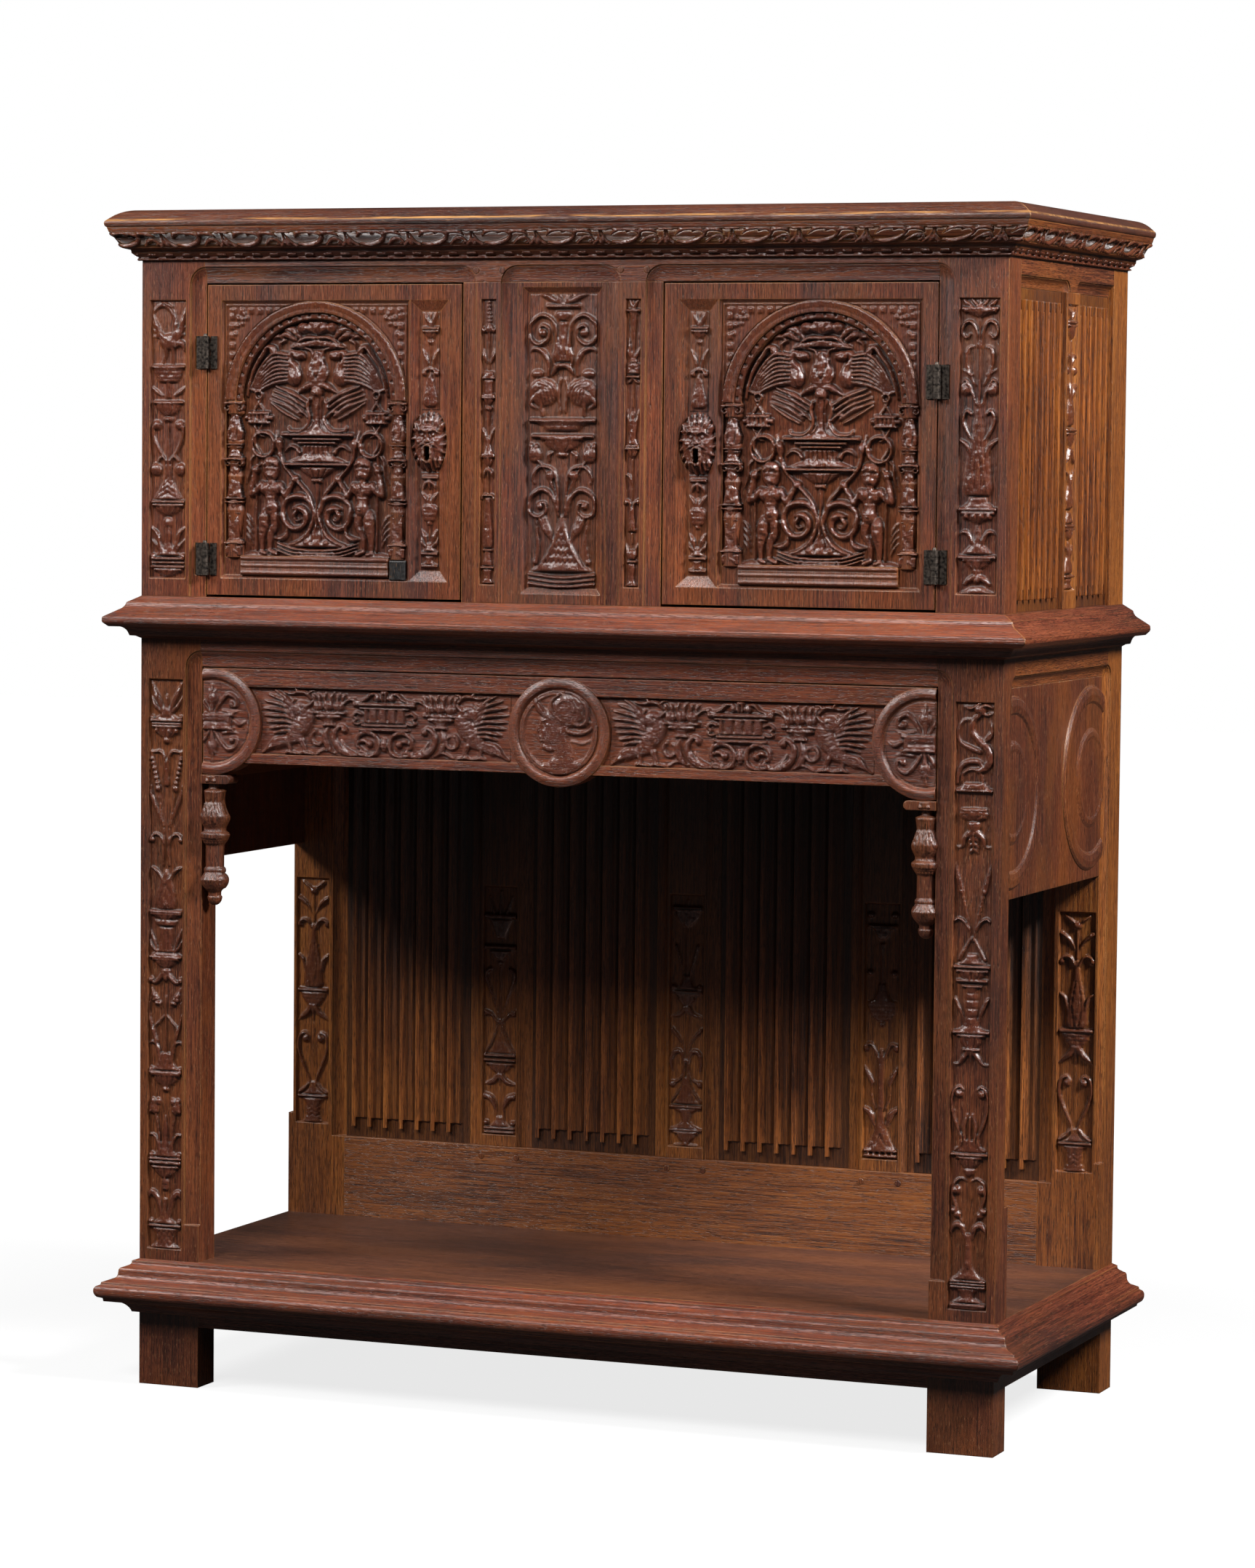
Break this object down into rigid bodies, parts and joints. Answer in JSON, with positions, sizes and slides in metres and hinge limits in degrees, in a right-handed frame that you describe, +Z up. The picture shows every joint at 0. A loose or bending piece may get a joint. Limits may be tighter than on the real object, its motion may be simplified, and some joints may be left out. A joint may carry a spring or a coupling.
{
  "type": "court cupboard",
  "caption": "Carved oak cupboard: open lower stage with linenfold back, frieze drawer on turned pendants, and an upper stage with hinged doors either side of a fixed panel.",
  "frame": {"origin": "on the floor, under the middle of the whole piece with its mouldings", "axes": "+X to the right as seen by someone facing the doors, +Y towards the back, +Z up"},
  "size_m": [1.2108, 0.531, 1.468],
  "materials": {
    "dark_carved_oak": "carved, waxed and worn",
    "red_brown_oak": "carved, waxed",
    "golden_oak": "waxed, split grain",
    "plain_oak": "dry, unpolished",
    "black_iron": "forged, blackened"
  },
  "bodies": {
    "carcass": {"apron_left": "red_brown_oak", "apron_rails": "red_brown_oak", "apron_right": "red_brown_oak", "back_bottom_rail": "golden_oak", "back_muntin_centre": "golden_oak", "back_muntin_left": "golden_oak", "back_muntin_right": "golden_oak", "back_panel_1": "golden_oak", "back_panel_2": "golden_oak", "back_panel_3": "golden_oak", "back_panel_4": "golden_oak", "back_top_rail": "golden_oak", "base_front_moulding": "red_brown_oak", "base_side_mouldings": "red_brown_oak", "centre_panel": "dark_carved_oak", "cornice_front_moulding": "dark_carved_oak", "cornice_side_mouldings": "dark_carved_oak", "drawer_runners": "plain_oak", "floor_boards": "golden_oak", "frieze_rail": "red_brown_oak", "front_muntin_left": "dark_carved_oak", "front_muntin_right": "dark_carved_oak", "front_post_left": "dark_carved_oak", "front_post_right": "dark_carved_oak", "front_stile_left": "dark_carved_oak", "front_stile_right": "dark_carved_oak", "hinge_frame_leaves": "black_iron", "hinge_pins": "black_iron", "pegs": "plain_oak", "pendant_left": "red_brown_oak", "pendant_right": "red_brown_oak", "plinth_rails": "plain_oak", "rear_post_left": "golden_oak", "rear_post_right": "golden_oak", "shelf_board": "plain_oak", "shelf_front_moulding": "dark_carved_oak", "shelf_side_mouldings": "dark_carved_oak", "side_muntins": "golden_oak", "side_panels_left": "golden_oak", "side_panels_right": "golden_oak", "side_top_rails": "golden_oak", "top_board": "dark_carved_oak", "upper_back_boards": "plain_oak", "upper_front_rail": "dark_carved_oak"},
    "door_left": {"door_left": "dark_carved_oak", "mask_left": "dark_carved_oak", "lock_case_left": "black_iron", "hinge_door_leaves_left": "black_iron"},
    "door_right": {"door_right": "dark_carved_oak", "mask_right": "dark_carved_oak", "lock_case_right": "black_iron", "hinge_door_leaves_right": "black_iron"},
    "drawer": {"drawer_front": "red_brown_oak", "drawer_sides": "plain_oak", "drawer_back": "plain_oak", "drawer_bottom": "plain_oak"},
    "bolt_left": {"lock_bolt_left": "black_iron"},
    "bolt_right": {"lock_bolt_right": "black_iron"}
  },
  "joints": [
    {"name": "door_left_hinge", "type": "hinge", "parent": "carcass", "child": "door_left", "pos_m": [-0.47525, -0.22195, 1.187], "axis": [0, 0, -1], "range_deg": [0, 165]},
    {"name": "door_right_hinge", "type": "hinge", "parent": "carcass", "child": "door_right", "pos_m": [0.47525, -0.22195, 1.187], "axis": [0, 0, 1], "range_deg": [0, 165]},
    {"name": "drawer_slide", "type": "slide", "parent": "carcass", "child": "drawer", "axis": [0, -1, 0], "range_m": [0, 0.3]},
    {"name": "bolt_left_slide", "type": "slide", "parent": "door_left", "child": "bolt_left", "axis": [1, 0, 0], "range_m": [0, 0.014]},
    {"name": "bolt_right_slide", "type": "slide", "parent": "door_right", "child": "bolt_right", "axis": [-1, 0, 0], "range_m": [0, 0.014]}
  ]
}
